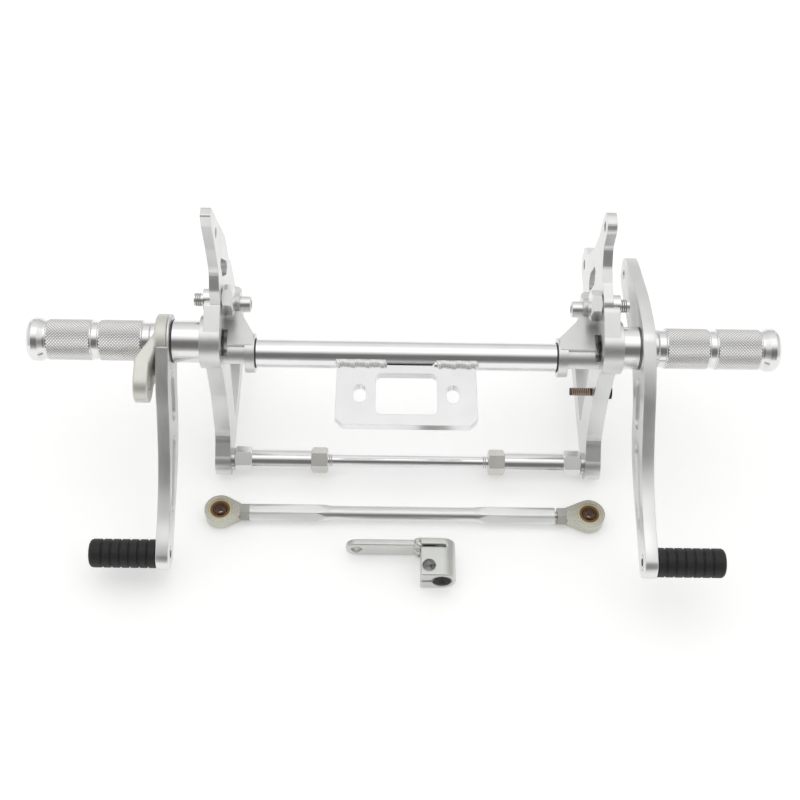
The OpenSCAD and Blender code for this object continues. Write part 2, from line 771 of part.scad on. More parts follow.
module left_rod_end() seat() rod_end(link_left, 1, rod_x0);
module right_rod_end() seat() rod_end(link_right, -1, rod_x1);
module left_link_nut() seat() link_nut(link_left + left_neck);
module right_link_nut() seat() link_nut(link_right - right_neck - link_nut_l);
module left_race() seat() race(link_left);
module right_race() seat() race(link_right);
module left_ball() seat() ball(link_left);
module right_ball() seat() ball(link_right);

// Shaft arm, lying on the ground beside the linkage rod

clamp_h = 18;
clamp_w = 13.5;
clamp_x = 8;
clamp_y = -116;
slit_t = 1.5;
pinch_d = 7.8;
blade_t = 4.5;
blade_h = 14;
blade_low = 1;
blade_hole_d = 6.5;

module shaft_arm() color(cast) seat() translate([clamp_x, clamp_y, ground_z]) difference() {
  union() {
    cube([clamp_w, clamp_l, clamp_h]);
    across(0, clamp_l) translate([clamp_w, clamp_h / 2]) circle(d = clamp_h, $fn = fine);
    across(clamp_l - blade_t, blade_t) blade_2d();
  }
  across(-1, clamp_l + 2) translate([clamp_w, clamp_h / 2]) circle(d = shaft_d, $fn = fine);
  translate([-1, -1, (clamp_h - slit_t) / 2])
    cube([clamp_w + 1, clamp_l - blade_t - 1, slit_t]);
  translate([5.2, 7.5, -1]) cylinder(h = clamp_h + 2, d = pinch_d, $fn = 48);
  across(clamp_l - blade_t - 1, blade_t + 2)
    translate([-blade_l + blade_h / 2, blade_low + blade_h / 2]) circle(d = blade_hole_d, $fn = 48);
}

// Thickens a flat shape of the X-Z plane from y to y + t.
module across(y, t) translate([0, y + t, 0]) rotate([90, 0, 0]) linear_extrude(t) children();

// The flat arm, with its rounded end.
module blade_2d() {
  translate([-blade_l + blade_h / 2, blade_low]) square([blade_l + clamp_w - blade_h / 2, blade_h]);
  translate([-blade_l + blade_h / 2, blade_low + blade_h / 2]) circle(d = blade_h, $fn = fine);
}

cross_rail();
left_end_bracket();
right_end_bracket();
left_side_plate();
right_side_plate();
left_arm_bolt();
right_arm_bolt();
left_arm_nut();
right_arm_nut();
left_rail_screw();
right_rail_screw();
left_peg_bolt();
right_peg_bolt();
left_pivot_sleeve();
right_pivot_sleeve();
left_lever_bush();
right_lever_bush();
left_peg_washer();
right_peg_washer();
left_peg();
right_peg();
gear_lever();
shift_arm();
brake_lever();
left_toe_screw();
right_toe_screw();
left_toe_rubber();
right_toe_rubber();
stop_screw();
stop_buffer();
tie_bar();
left_tie_sleeve();
right_tie_sleeve();
left_tie_nut();
right_tie_nut();
left_tie_screw();
right_tie_screw();
tie_washers();
link_rod();
left_rod_end();
right_rod_end();
left_link_nut();
right_link_nut();
left_race();
right_race();
left_ball();
right_ball();
shaft_arm();
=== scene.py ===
from math import acos, atan2, cos, degrees, pi, radians, sin

import bmesh
import bpy
from mathutils import Matrix, Vector


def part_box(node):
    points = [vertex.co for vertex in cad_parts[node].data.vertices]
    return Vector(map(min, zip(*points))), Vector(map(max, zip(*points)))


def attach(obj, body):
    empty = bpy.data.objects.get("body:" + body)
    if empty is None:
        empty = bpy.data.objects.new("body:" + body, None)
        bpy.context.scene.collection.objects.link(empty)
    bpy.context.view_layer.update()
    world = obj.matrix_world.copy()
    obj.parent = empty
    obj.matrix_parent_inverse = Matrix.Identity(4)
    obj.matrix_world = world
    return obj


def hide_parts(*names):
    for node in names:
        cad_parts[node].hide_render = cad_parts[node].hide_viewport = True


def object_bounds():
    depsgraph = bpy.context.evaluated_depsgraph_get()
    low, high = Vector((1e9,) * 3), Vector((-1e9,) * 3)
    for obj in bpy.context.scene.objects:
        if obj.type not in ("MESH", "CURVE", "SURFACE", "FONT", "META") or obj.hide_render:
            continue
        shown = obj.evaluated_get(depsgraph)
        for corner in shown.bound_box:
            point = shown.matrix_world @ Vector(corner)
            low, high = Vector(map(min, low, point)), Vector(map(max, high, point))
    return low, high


MM = 0.001
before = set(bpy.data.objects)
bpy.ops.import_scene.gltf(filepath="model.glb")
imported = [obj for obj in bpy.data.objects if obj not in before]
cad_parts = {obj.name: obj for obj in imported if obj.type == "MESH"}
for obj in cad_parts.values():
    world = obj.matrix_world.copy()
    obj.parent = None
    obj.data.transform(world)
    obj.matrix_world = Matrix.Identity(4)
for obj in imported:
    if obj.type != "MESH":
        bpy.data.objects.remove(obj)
cad_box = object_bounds()

# Camera: the photograph's station, in the hanger plate's frame

FOCAL_PIXELS = 1270.04
IMAGE_PIXELS = 800
SENSOR = 36.0
CAMERA_PLACE = Vector((-14.29, -453.65, 636.28)) * MM
DOWN = radians(54.79)
HEADING = radians(-1.32)
ROLL = radians(1.91)


def make_camera():
    forward = Vector((-sin(HEADING) * cos(DOWN), cos(HEADING) * cos(DOWN), -sin(DOWN)))
    level = Vector((cos(HEADING), sin(HEADING), 0))
    lower = forward.cross(level)
    right = level * cos(ROLL) - lower * sin(ROLL)
    up = -(level * sin(ROLL) + lower * cos(ROLL))
    data = bpy.data.cameras.new("photo_camera")
    data.sensor_width = SENSOR
    data.lens = SENSOR * FOCAL_PIXELS / IMAGE_PIXELS
    data.clip_start = 0.01
    data.clip_end = 20
    camera = bpy.data.objects.new("photo_camera", data)
    turn = Matrix((right, up, -forward)).transposed().to_4x4()
    camera.matrix_world = Matrix.Translation(CAMERA_PLACE) @ turn
    bpy.context.scene.collection.objects.link(camera)
    bpy.context.scene.camera = camera


make_camera()

# Floor and studio light

GROUND = cad_box[0][2]
FLOOR_HALF = 25.0
FLOOR_GAP = 0.4 * MM
FLOOR_BASE = 0.94
FLOOR_GLOW = 0.30
OPENING_RISE = radians(36)
OPENING_WIDTH = 0.5
OPENING_EDGE = radians(38)
OPENING_CORE = radians(10)
ROOM_TONE = (0.17, 0.165, 0.16)
TENT_SHADES = ((0.02, 0.55), (0.3, 0.68), (0.62, 0.85), (0.98, 1.0))
TENT_STRENGTH = 1.04
LAMP_PLACE = (0, 0.25, 1.4)
LAMP_AIM = (0, 0.05, 0)
LAMP_WIDTH = 1.4
LAMP_DEPTH = 1.0
LAMP_WATTS = 1.4


def node_tree(name):
    material = bpy.data.materials.new(name)
    material.use_nodes = True
    tree = material.node_tree
    return material, tree.nodes, tree.links, tree.nodes["Principled BSDF"]


def finished(name, bm, smooth=True):
    """A mesh object at the origin from the bmesh, which is then freed."""
    mesh = bpy.data.meshes.new(name)
    bm.to_mesh(mesh)
    bm.free()
    for face in mesh.polygons:
        face.use_smooth = smooth
    piece = bpy.data.objects.new(name, mesh)
    bpy.context.scene.collection.objects.link(piece)
    return piece


def make_floor():
    bm = bmesh.new()
    bmesh.ops.create_grid(bm, x_segments=1, y_segments=1, size=FLOOR_HALF)
    bmesh.ops.translate(bm, verts=bm.verts, vec=(0, 0, GROUND - FLOOR_GAP))
    floor = finished("floor", bm, smooth=False)
    material, nodes, links, shader = node_tree("pale_floor")
    shader.inputs["Base Color"].default_value = (FLOOR_BASE, FLOOR_BASE, FLOOR_BASE, 1)
    shader.inputs["Emission Color"].default_value = (1, 1, 1, 1)
    shader.inputs["Emission Strength"].default_value = FLOOR_GLOW
    shader.inputs["Roughness"].default_value = 0.9
    shader.inputs["Specular IOR Level"].default_value = 0.1
    floor.data.materials.append(material)


def soft_light(name, place, aim, width, depth, watts):
    data = bpy.data.lights.new(name, "AREA")
    data.shape = "RECTANGLE"
    data.size = width
    data.size_y = depth
    data.energy = watts
    lamp = bpy.data.objects.new(name, data)
    way = Vector(aim) - Vector(place)
    turn = way.to_track_quat("-Z", "Y").to_matrix().to_4x4()
    lamp.matrix_world = Matrix.Translation(place) @ turn
    bpy.context.scene.collection.objects.link(lamp)


def sky(nodes, links):
    """A white tent with the dim room showing through its front opening."""
    place = nodes.new("ShaderNodeTexCoord")
    widen = nodes.new("ShaderNodeMapping")
    widen.vector_type = "VECTOR"
    widen.inputs["Scale"].default_value = (OPENING_WIDTH, 1, 1)
    links.new(place.outputs["Generated"], widen.inputs["Vector"])
    even = nodes.new("ShaderNodeVectorMath")
    even.operation = "NORMALIZE"
    links.new(widen.outputs["Vector"], even.inputs[0])
    near = nodes.new("ShaderNodeVectorMath")
    near.operation = "DOT_PRODUCT"
    near.inputs[1].default_value = (0, -cos(OPENING_RISE), sin(OPENING_RISE))
    links.new(even.outputs["Vector"], near.inputs[0])
    opening = nodes.new("ShaderNodeValToRGB")
    opening.color_ramp.interpolation = "EASE"
    opening.color_ramp.elements[0].position = cos(OPENING_EDGE)
    opening.color_ramp.elements[0].color = (0, 0, 0, 1)
    opening.color_ramp.elements[1].position = cos(OPENING_CORE)
    opening.color_ramp.elements[1].color = (1, 1, 1, 1)
    links.new(near.outputs["Value"], opening.inputs["Fac"])

    split = nodes.new("ShaderNodeSeparateXYZ")
    links.new(place.outputs["Generated"], split.inputs[0])
    tent = nodes.new("ShaderNodeValToRGB")
    for position, shade in TENT_SHADES:
        stop = tent.color_ramp.elements.new(position)
        stop.color = (shade, shade, shade * 0.99, 1)
    tent.color_ramp.elements.remove(tent.color_ramp.elements[-1])
    tent.color_ramp.elements.remove(tent.color_ramp.elements[0])
    links.new(split.outputs["Z"], tent.inputs["Fac"])

    mixed = nodes.new("ShaderNodeMix")
    mixed.data_type = "RGBA"
    links.new(opening.outputs["Color"], mixed.inputs["Factor"])
    links.new(tent.outputs["Color"], mixed.inputs["A"])
    mixed.inputs["B"].default_value = (*ROOM_TONE, 1)
    return mixed.outputs["Result"]


def make_light():
    world = bpy.data.worlds.new("studio")
    bpy.context.scene.world = world
    world.use_nodes = True
    nodes = world.node_tree.nodes
    links = world.node_tree.links
    back = nodes["Background"]
    links.new(sky(nodes, links), back.inputs["Color"])
    back.inputs["Strength"].default_value = TENT_STRENGTH
    soft_light("top_light", LAMP_PLACE, LAMP_AIM, LAMP_WIDTH, LAMP_DEPTH, LAMP_WATTS)


make_floor()
make_light()
bpy.context.scene.view_settings.view_transform = "Standard"

# Materials

PIVOT = (0.0, 31.55 * MM, 8.5 * MM)
GRIP_RADIUS = 12.5 * MM
KNURL_HEIGHT = 0.38 * MM
# dark brown for the inner part of each race, nearer its centre
CORE_BROWN = (0.19, 0.12, 0.065)
GOLDEN = (0.66, 0.56, 0.34)


def rounded_edges(nodes, radius):
    """Catches the light along sharp edges, as a small chamfer does."""
    bevel = nodes.new("ShaderNodeBevel")
    bevel.samples = 4
    bevel.inputs["Radius"].default_value = radius
    return bevel


def metal(name, colour, roughness, grain=(1, 1, 1), grain_scale=900, grain_height=0.02,
          mottle=0.06, edge=0.4 * MM, metallic=1.0):
    """Metal with fine tool marks stretched along an axis, uneven polish and soft edges."""
    material, nodes, links, shader = node_tree(name)
    shader.inputs["Metallic"].default_value = metallic
    place = nodes.new("ShaderNodeTexCoord")
    stretch = nodes.new("ShaderNodeMapping")
    stretch.inputs["Scale"].default_value = grain
    links.new(place.outputs["Object"], stretch.inputs["Vector"])

    marks = nodes.new("ShaderNodeTexNoise")
    marks.inputs["Scale"].default_value = grain_scale
    marks.inputs["Detail"].default_value = 3
    links.new(stretch.outputs["Vector"], marks.inputs["Vector"])

    cloud = nodes.new("ShaderNodeTexNoise")
    cloud.inputs["Scale"].default_value = 45
    cloud.inputs["Detail"].default_value = 4
    links.new(place.outputs["Object"], cloud.inputs["Vector"])

    tone = nodes.new("ShaderNodeValToRGB")
    dark = [c * (1 - mottle) for c in colour]
    tone.color_ramp.elements[0].position = 0.3
    tone.color_ramp.elements[0].color = (*dark, 1)
    tone.color_ramp.elements[1].position = 0.7
    tone.color_ramp.elements[1].color = (*colour, 1)
    links.new(cloud.outputs["Fac"], tone.inputs["Fac"])
    links.new(tone.outputs["Color"], shader.inputs["Base Color"])

    polish = nodes.new("ShaderNodeMapRange")
    polish.inputs["To Min"].default_value = roughness * 0.8
    polish.inputs["To Max"].default_value = roughness * 1.25
    links.new(marks.outputs["Fac"], polish.inputs["Value"])
    links.new(polish.outputs["Result"], shader.inputs["Roughness"])

    bump = nodes.new("ShaderNodeBump")
    bump.inputs["Strength"].default_value = grain_height
    bump.inputs["Distance"].default_value = 0.2 * MM
    links.new(marks.outputs["Fac"], bump.inputs["Height"])
    links.new(rounded_edges(nodes, edge).outputs["Normal"], bump.inputs["Normal"])
    links.new(bump.outputs["Normal"], shader.inputs["Normal"])
    return material


def moulded_rubber(name):
    material, nodes, links, shader = node_tree(name)
    shader.inputs["Roughness"].default_value = 0.55
    shader.inputs["Specular IOR Level"].default_value = 0.4
    place = nodes.new("ShaderNodeTexCoord")
    grain = nodes.new("ShaderNodeTexNoise")
    grain.inputs["Scale"].default_value = 1400
    grain.inputs["Detail"].default_value = 5
    links.new(place.outputs["Object"], grain.inputs["Vector"])
    tone = nodes.new("ShaderNodeValToRGB")
    tone.color_ramp.elements[0].position = 0.35
    tone.color_ramp.elements[0].color = (0.010, 0.010, 0.011, 1)
    tone.color_ramp.elements[1].position = 0.75
    tone.color_ramp.elements[1].color = (0.030, 0.029, 0.030, 1)
    links.new(grain.outputs["Fac"], tone.inputs["Fac"])
    links.new(tone.outputs["Color"], shader.inputs["Base Color"])
    bump = nodes.new("ShaderNodeBump")
    bump.inputs["Strength"].default_value = 0.25
    bump.inputs["Distance"].default_value = 0.15 * MM
    links.new(grain.outputs["Fac"], bump.inputs["Height"])
    links.new(rounded_edges(nodes, 0.5 * MM).outputs["Normal"], bump.inputs["Normal"])
    links.new(bump.outputs["Normal"], shader.inputs["Normal"])
    return material


def radial_tone(nodes, links, centre, across, stops):
    """A colour that changes with the distance from an axis through the centre."""
    place = nodes.new("ShaderNodeTexCoord")
    shift = nodes.new("ShaderNodeMapping")
    shift.inputs["Location"].default_value = [-c for c in centre]
    links.new(place.outputs["Object"], shift.inputs["Vector"])
    flat = nodes.new("ShaderNodeVectorMath")
    flat.operation = "MULTIPLY"
    flat.inputs[1].default_value = across
    links.new(shift.outputs["Vector"], flat.inputs[0])
    radius = nodes.new("ShaderNodeVectorMath")
    radius.operation = "LENGTH"
    links.new(flat.outputs["Vector"], radius.inputs[0])
    reach = nodes.new("ShaderNodeMapRange")
    reach.inputs["From Min"].default_value = stops[0][0]
    reach.inputs["From Max"].default_value = stops[-1][0]
    links.new(radius.outputs["Value"], reach.inputs["Value"])
    tone = nodes.new("ShaderNodeValToRGB")
    for (far, colour), stop in zip((stops[0], stops[-1]), tone.color_ramp.elements):
        stop.position = (far - stops[0][0]) / (stops[-1][0] - stops[0][0])
        stop.color = (*colour, 1)
    for far, colour in stops[1:-1]:
        stop = tone.color_ramp.elements.new((far - stops[0][0]) / (stops[-1][0] - stops[0][0]))
        stop.color = (*colour, 1)
    links.new(reach.outputs["Result"], tone.inputs["Fac"])
    return tone.outputs["Color"]


def grip_metal(name, colour, roughness):
    """Knurled metal, with painted shade darkening the valleys between its points."""
    material, nodes, links, shader = node_tree(name)
    shader.inputs["Metallic"].default_value = 1.0
    shader.inputs["Roughness"].default_value = roughness
    # painted shade: the colour falls to 30% of the metal's colour in the knurl valleys
    valley_shade = [c * 0.30 for c in colour]
    stops = [(GRIP_RADIUS, valley_shade), (GRIP_RADIUS + 0.5 * KNURL_HEIGHT, colour),
             (GRIP_RADIUS + KNURL_HEIGHT, colour)]
    links.new(radial_tone(nodes, links, PIVOT, (0, 1, 1), stops), shader.inputs["Base Color"])
    return material


def race_metal(name, centre):
    """A bronze race, dark brown nearer its centre and bright golden at its rim."""
    material, nodes, links, shader = node_tree(name)
    shader.inputs["Metallic"].default_value = 1.0
    shader.inputs["Roughness"].default_value = 0.34
    # darker brown nearer the centre, golden towards the rim
    stops = [(4.5 * MM, CORE_BROWN), (6.3 * MM, CORE_BROWN), (6.7 * MM, GOLDEN), (7.6 * MM, GOLDEN)]
    links.new(radial_tone(nodes, links, centre, (1, 1, 0), stops), shader.inputs["Base Color"])
    return material


ALONG_X = (0.03, 1, 1)
plate_alu = metal("milled_plate", (0.77, 0.775, 0.77), 0.36, (1, 0.08, 1), 900, 0.06)
lever_alu = metal("milled_lever", (0.82, 0.825, 0.82), 0.36, (1, 0.2, 0.2), 900, 0.06)
turned_alu = metal("turned_aluminium", (0.83, 0.83, 0.83), 0.19, (1, 0.05, 0.05), 2600, 0.06)
rod_alu = metal("rod_aluminium", (0.80, 0.81, 0.80), 0.30, (0.1, 1, 1), 1400, 0.06)
polished = metal("polished_tube", (0.86, 0.86, 0.87), 0.14, ALONG_X, 700, 0.02)
hanger_finish = metal("polished_rail", (0.86, 0.86, 0.87), 0.18, ALONG_X, 700, 0.03)
knurled = grip_metal("knurled_grip", (0.97, 0.96, 0.96), 0.34)
cast_arm = metal("cast_arm", (0.76, 0.75, 0.70), 0.44, (1, 1, 1), 700, 0.20, 0.10, 0.8 * MM, 0.8)
shaft_metal = metal("shaft_metal", (0.66, 0.67, 0.64), 0.36, (1, 1, 1), 900, 0.16, 0.12, 0.6 * MM)
bright_steel = metal("bright_steel", (0.83, 0.83, 0.82), 0.24, (1, 0.2, 0.2), 1600, 0.05, 0.08)
plated = metal("plated_steel", (0.70, 0.69, 0.66), 0.24, (1, 0.2, 0.2), 1600, 0.05, 0.12)
bearing = metal("bearing_bronze", (0.26, 0.19, 0.08), 0.38, (1, 1, 1), 900, 0.1, 0.3)
ball_steel = metal("oiled_ball", (0.15, 0.085, 0.055), 0.22, (1, 1, 1), 900, 0.05, 0.3)
dark_steel = metal("dark_steel", (0.30, 0.28, 0.26), 0.35, (1, 1, 1), 900, 0.08, 0.2)
copper_thread = metal("copper_thread", (0.62, 0.48, 0.40), 0.34, (1, 1, 1), 1500, 0.06, 0.3)
copper_core = metal("copper_core", (0.12, 0.08, 0.06), 0.5, (1, 1, 1), 1500, 0.06, 0.3)
steel_thread = metal("steel_thread", (0.42, 0.40, 0.35), 0.32, (1, 1, 1), 1500, 0.05, 0.3)
nut_steel = metal("nut_steel", (0.48, 0.47, 0.44), 0.30, (1, 0.2, 0.2), 1500, 0.06, 0.2)
rod_end_steel = metal("rod_end_steel", (0.62, 0.61, 0.54), 0.27, (1, 1, 1), 1300, 0.08, 0.2)
rubber = moulded_rubber("moulded_rubber")
weld_metal = metal("weld_metal", (0.97, 0.97, 0.97), 0.50, (1, 1, 1), 1500, 0.12, 0.06)

FINISHES = {
    "cross_rail": hanger_finish,
    "tie_bar": polished,
    "left_peg": turned_alu, "right_peg": turned_alu,
    "gear_lever": lever_alu, "brake_lever": lever_alu,
    "shift_arm": cast_arm, "shaft_arm": shaft_metal,
    "stop_screw": copper_core, "stop_buffer": rubber,
    "link_rod": rod_alu,
}
PAIRED = {
    "end_bracket": plate_alu, "side_plate": plate_alu,
    "arm_bolt": bright_steel, "arm_nut": turned_alu, "rail_screw": bright_steel,
    "peg_bolt": dark_steel, "pivot_sleeve": turned_alu, "lever_bush": bearing,
    "peg_washer": turned_alu, "toe_screw": plated, "toe_rubber": rubber,
    "tie_sleeve": turned_alu, "tie_nut": plated, "tie_screw": plated,
    "rod_end": rod_end_steel, "link_nut": nut_steel, "ball": ball_steel,
}
for stem, material in PAIRED.items():
    for side in ("left", "right"):
        FINISHES[f"{side}_{stem}"] = material
for side in ("left", "right"):
    low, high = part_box(f"{side}_race")
    middle = [(a + b) / 2 for a, b in zip(low, high)]
    FINISHES[f"{side}_race"] = race_metal(f"{side}_race_bronze", middle)
FINISHES["tie_washers"] = plated


def dress_nodes():
    for name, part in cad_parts.items():
        part.data.materials.clear()
        part.data.materials.append(FINISHES[name])


dress_nodes()

# Knurled grips

KNURL_PITCH = 0.95 * MM
GRIP_COLUMNS = 82
INNER_BAND = (5.4 * MM, 31.8 * MM)
OUTER_BAND = (36.8 * MM, 64.0 * MM)
VALLEY_RISE = 0.02 * MM
RIM_SINK = 0.1 * MM


def close_ends(bm):
    """Closes each open rim with a fan of faces about its middle."""
    rims = [edge for edge in bm.edges if edge.is_boundary]
    caps = bmesh.ops.holes_fill(bm, edges=rims, sides=0)["faces"]
    bmesh.ops.poke(bm, faces=caps)


def knurl(name, low, high):
    """A band of small pyramids round the peg axis, from x = low to x = high."""
    rows = round((high - low) / KNURL_PITCH)
    bm = bmesh.new()
    bmesh.ops.create_grid(bm, x_segments=GRIP_COLUMNS, y_segments=rows, size=1)
    bmesh.ops.poke(bm, faces=bm.faces)
    for vert in bm.verts:
        column = (vert.co.x + 1) / 2 * GRIP_COLUMNS
        row = (vert.co.y + 1) / 2 * rows
        on_corner = abs(column - round(column)) < 0.1 and abs(row - round(row)) < 0.1
        peak = on_corner and (round(column) + round(row)) % 2 == 0
        radius = GRIP_RADIUS + (KNURL_HEIGHT if peak else VALLEY_RISE)
        if row < 0.1 or row > rows - 0.1:
            radius = GRIP_RADIUS - RIM_SINK
        angle = 2 * pi * column / GRIP_COLUMNS
        vert.co = (low + (high - low) * row / rows,
                   PIVOT[1] + radius * cos(angle), PIVOT[2] + radius * sin(angle))
    bmesh.ops.remove_doubles(bm, verts=bm.verts, dist=0.02 * MM)
    close_ends(bm)
    bmesh.ops.recalc_face_normals(bm, faces=bm.faces)
    band = finished(name, bm, smooth=False)
    band.data.materials.append(knurled)
    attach(band, "frame")


def make_knurling():
    left_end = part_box("left_peg")[1][0]
    right_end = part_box("right_peg")[0][0]
    for label, band in (("inner", INNER_BAND), ("outer", OUTER_BAND)):
        knurl(f"left_{label}_knurl", left_end - band[1], left_end - band[0])
        knurl(f"right_{label}_knurl", right_end + band[0], right_end + band[1])


make_knurling()

# Screw threads

THREAD_STEPS = 24
THREAD_PITCH = 1.25 * MM
THREAD_RISE = 0.30 * MM
THREAD_SINK = 0.2 * MM
BOLT_RADIUS = 4.0 * MM
STOP_RADIUS = 2.5 * MM
# Where each thread starts and ends, from the end of its shank or from its nut
BOLT_THREAD = (0.3 * MM, 5.8 * MM)
STOP_THREAD = (0.3 * MM, 14.2 * MM)
TIE_THREAD = (0.1 * MM, 4.0 * MM)


def axis_of(node):
    """Where the middle line of a node that lies along X crosses the Y-Z plane."""
    low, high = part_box(node)
    return (low[1] + high[1]) / 2, (low[2] + high[2]) / 2


def thread(name, low, high, centre, radius, material):
    """A vee thread round a shank along X, from x = low to x = high."""
    turns = max(2, round((high - low) / THREAD_PITCH) - 1)
    bm = bmesh.new()
    foot = centre[0] + radius - THREAD_SINK
    crest = centre[0] + radius + THREAD_RISE
    ridge = [(low, foot), (low + THREAD_PITCH / 2, crest), (low + THREAD_PITCH, foot)]
    verts = [bm.verts.new((x, y, centre[1])) for x, y in ridge]
    edges = [bm.edges.new(pair) for pair in zip(verts, verts[1:])]
    bmesh.ops.spin(bm, geom=verts + edges, cent=(0, centre[0], centre[1]), axis=(1, 0, 0),
                   dvec=(THREAD_PITCH / THREAD_STEPS, 0, 0), angle=2 * pi * turns,
                   steps=THREAD_STEPS * turns, use_merge=False)
    bmesh.ops.remove_doubles(bm, verts=bm.verts, dist=0.005 * MM)
    close_ends(bm)
    bmesh.ops.recalc_face_normals(bm, faces=bm.faces)
    ridges = finished(name, bm, smooth=False)
    ridges.data.materials.append(material)
    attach(ridges, "frame")


def make_threads():
    bolt_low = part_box("left_arm_bolt")[0][0]
    bolt_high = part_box("right_arm_bolt")[1][0]
    stop_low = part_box("stop_screw")[0][0]
    nut_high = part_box("left_tie_nut")[1][0]
    nut_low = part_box("right_tie_nut")[0][0]
    thread("left_bolt_thread", bolt_low + BOLT_THREAD[0], bolt_low + BOLT_THREAD[1],
           axis_of("left_arm_bolt"), BOLT_RADIUS, steel_thread)
    thread("right_bolt_thread", bolt_high - BOLT_THREAD[1], bolt_high - BOLT_THREAD[0],
           axis_of("right_arm_bolt"), BOLT_RADIUS, steel_thread)
    thread("stop_thread", stop_low + STOP_THREAD[0], stop_low + STOP_THREAD[1],
           axis_of("stop_screw"), STOP_RADIUS, copper_thread)
    thread("left_tie_thread", nut_high + TIE_THREAD[0], nut_high + TIE_THREAD[1],
           axis_of("tie_bar"), BOLT_RADIUS, plated)
    thread("right_tie_thread", nut_low - TIE_THREAD[1], nut_low - TIE_THREAD[0],
           axis_of("tie_bar"), BOLT_RADIUS, plated)


make_threads()

# Levers, with smooth curved edges

LEVER_THICK = 8.0 * MM
LEVER_EDGE = 0.5 * MM
# Outlines in mm from the peg axis, to the rear and up
HUB = 17.0
RING_SEAT = 17.2
TOE = (-119.7, -57.9)
TOE_RADIUS = 10.0
TIP = (72.0, -13.0)
TIP_RADIUS = 11.0
TOE_HOLE_RADIUS = 5.05
HUB_BORE_RADIUS = 9.05
TIP_HOLE_RADIUS = 3.0
GEAR_HUB_THICK = 1.4 * MM
GEAR_DROP = radians(11)
UPPER_EDGE = [(-32, 0.6), (-52, -16.6), (-74, -32.6), (-100, -43)]
LOWER_EDGE = [(-92, -62.4), (-62, -57.6), (-38, -47.4), (-14, -28.4)]
SLOTS = [((-22, -13), 6.8, (-36, -26), 6.6), ((-54, -37), 6.0, (-90, -51), 4.6)]


def arc_points(centre, radius, start, end, count):
    steps = [start + (end - start) * i / (count - 1) for i in range(count)]
    return [(centre[0] + radius * cos(radians(a)), centre[1] + radius * sin(radians(a)))
            for a in steps]


def slot_points(slot):
    """The closed edge of a slot with round ends of two sizes."""
    near, near_radius, far, far_radius = slot
    run = Vector(far) - Vector(near)
    lean = degrees(atan2(run.y, run.x))
    spread = degrees(acos((near_radius - far_radius) / run.length))
    return (arc_points(near, near_radius, lean + spread, lean + 360 - spread, 17)
            + arc_points(far, far_radius, lean - spread, lean + spread, 17))


def flat_plate(name, smooth_edge, corners, holes, thick):
    """A plate drawn in its own plane from one smooth closed edge and some holes."""
    data = bpy.data.curves.new(name, "CURVE")
    data.dimensions = "2D"
    data.fill_mode = "BOTH"
    data.resolution_u = 8
    data.extrude = thick / 2 - LEVER_EDGE
    data.bevel_depth = LEVER_EDGE
    data.bevel_resolution = 2
    data.offset = -LEVER_EDGE
    rim = data.splines.new("BEZIER")
    rim.bezier_points.add(len(smooth_edge) - 1)
    rim.use_cyclic_u = True
    for point, place in zip(rim.bezier_points, smooth_edge):
        point.co = (place[0] * MM, place[1] * MM, 0)
        kind = "VECTOR" if place in corners else "AUTO"
        point.handle_left_type = kind
        point.handle_right_type = kind
    for hole in holes:
        edge = data.splines.new("POLY")
        edge.points.add(len(hole) - 1)
        edge.use_cyclic_u = True
        for point, place in zip(edge.points, hole):
            point.co = (place[0] * MM, place[1] * MM, 0, 1)
    drawn = bpy.data.objects.new(name, data)
    bpy.context.scene.collection.objects.link(drawn)
    bpy.context.view_layer.update()
    sight = drawn.evaluated_get(bpy.context.evaluated_depsgraph_get())
    mesh = bpy.data.meshes.new_from_object(sight)
    bpy.data.objects.remove(drawn)
    bm = bmesh.new()
    bm.from_mesh(mesh)
    bpy.data.meshes.remove(mesh)
    bmesh.ops.remove_doubles(bm, verts=bm.verts, dist=0.004 * MM)
    bmesh.ops.recalc_face_normals(bm, faces=bm.faces)
    return bm


def lever_piece(name, plates, node, body):
    """Joins plates given as (bmesh, lowest x, thickness, turn) into one lever beside its peg."""
    whole = bmesh.new()
    upright = Matrix(((0, 0, 1, 0), (1, 0, 0, 0), (0, 1, 0, 0), (0, 0, 0, 1)))
    for plate, low, thick, turn in plates:
        place = (Matrix.Translation((low + thick / 2, PIVOT[1], PIVOT[2]))
                 @ upright @ Matrix.Rotation(turn, 4, "Z"))
        bmesh.ops.transform(plate, matrix=place, verts=plate.verts)
        spare = bpy.data.meshes.new("spare")
        plate.to_mesh(spare)
        plate.free()
        whole.from_mesh(spare)
        bpy.data.meshes.remove(spare)
    lever = finished(name, whole)
    lever.data.set_sharp_from_angle(angle=radians(32))
    lever.data.materials.append(lever_alu)
    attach(lever, body)
    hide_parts(node)


